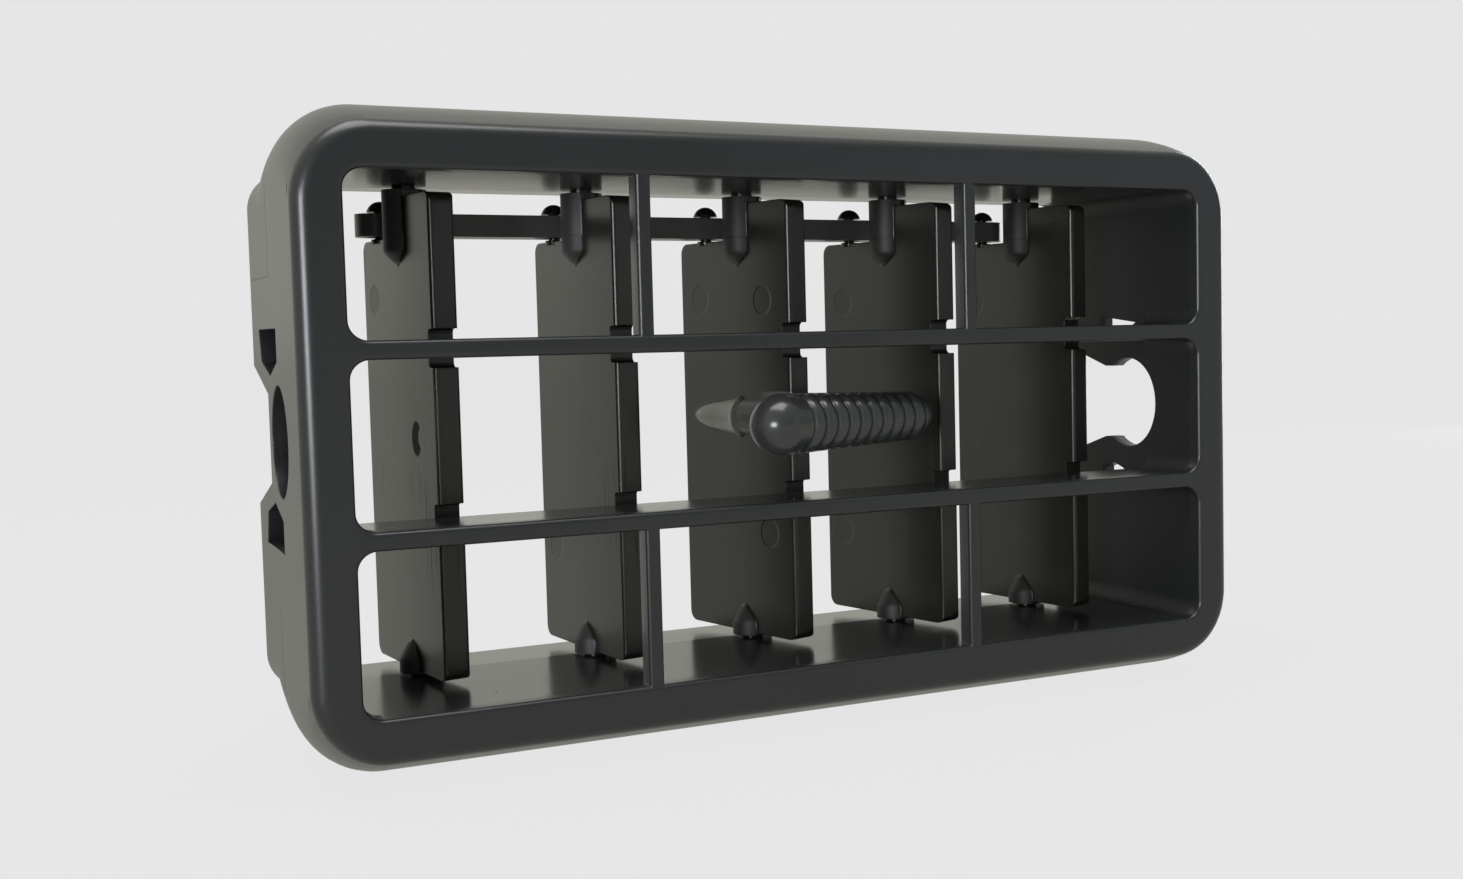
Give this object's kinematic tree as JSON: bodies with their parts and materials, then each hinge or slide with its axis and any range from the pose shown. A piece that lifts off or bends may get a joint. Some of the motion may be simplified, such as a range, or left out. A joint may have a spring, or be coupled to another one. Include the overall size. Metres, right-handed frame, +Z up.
{
  "type": "panel air outlet",
  "caption": "Tilting louvre insert for a panel: a rounded bezel with bars and posts, a short duct with side seats, upright linked vanes and a ribbed grip that swings them.",
  "frame": {"origin": "centre of the left seat's bore, at the middle of the left wall's thickness, on the axis that the insert tilts about", "axes": "+X to the right along the tilt axis, +Y back into the panel so that the bezel faces -Y, +Z up"},
  "size_m": [0.1314, 0.0417, 0.0806],
  "materials": {
    "frame": "satin black moulded ABS",
    "knob": "gloss black moulded ABS",
    "link_bar": "black moulded plastic",
    "vane_1": "semi-gloss black moulded ABS",
    "vane_2": "semi-gloss black moulded ABS",
    "vane_3": "semi-gloss black moulded ABS",
    "vane_4": "semi-gloss black moulded ABS",
    "vane_5": "semi-gloss black moulded ABS"
  },
  "bodies": {
    "frame": {"frame": "frame"},
    "vane_1": {"vane_1": "vane_1"},
    "vane_2": {"vane_2": "vane_2"},
    "vane_3": {"vane_3": "vane_3", "knob": "knob"},
    "vane_4": {"vane_4": "vane_4"},
    "vane_5": {"vane_5": "vane_5"},
    "link_bar": {"link_bar": "link_bar"}
  },
  "joints": [
    {"name": "vane_1_swing", "type": "hinge", "parent": "frame", "child": "vane_1", "pos_m": [0.01625, 0.0079, 0], "axis": [0, 0, 1], "range_deg": [-46, 20]},
    {"name": "vane_2_swing", "type": "hinge", "parent": "frame", "child": "vane_2", "pos_m": [0.03978, 0.0079, 0], "axis": [0, 0, 1], "range_deg": [-46, 20]},
    {"name": "vane_3_swing", "type": "hinge", "parent": "frame", "child": "vane_3", "pos_m": [0.06331, 0.0079, 0], "axis": [0, 0, 1], "range_deg": [-46, 20]},
    {"name": "vane_4_swing", "type": "hinge", "parent": "frame", "child": "vane_4", "pos_m": [0.08684, 0.0079, 0], "axis": [0, 0, 1], "range_deg": [-46, 20]},
    {"name": "vane_5_swing", "type": "hinge", "parent": "frame", "child": "vane_5", "pos_m": [0.11038, 0.0079, 0], "axis": [0, 0, 1], "range_deg": [-46, 20]},
    {"name": "link_bar_pivot", "type": "hinge", "parent": "vane_3", "child": "link_bar", "pos_m": [0.06141, 0.01619, 0], "axis": [0, 0, 1], "range_deg": [-20, 46]}
  ],
  "couplings": [
    {"joint": "vane_1_swing", "follows": "vane_3_swing", "ratio": 1},
    {"joint": "vane_2_swing", "follows": "vane_3_swing", "ratio": 1},
    {"joint": "vane_4_swing", "follows": "vane_3_swing", "ratio": 1},
    {"joint": "vane_5_swing", "follows": "vane_3_swing", "ratio": 1},
    {"joint": "link_bar_pivot", "follows": "vane_3_swing", "ratio": -1}
  ]
}
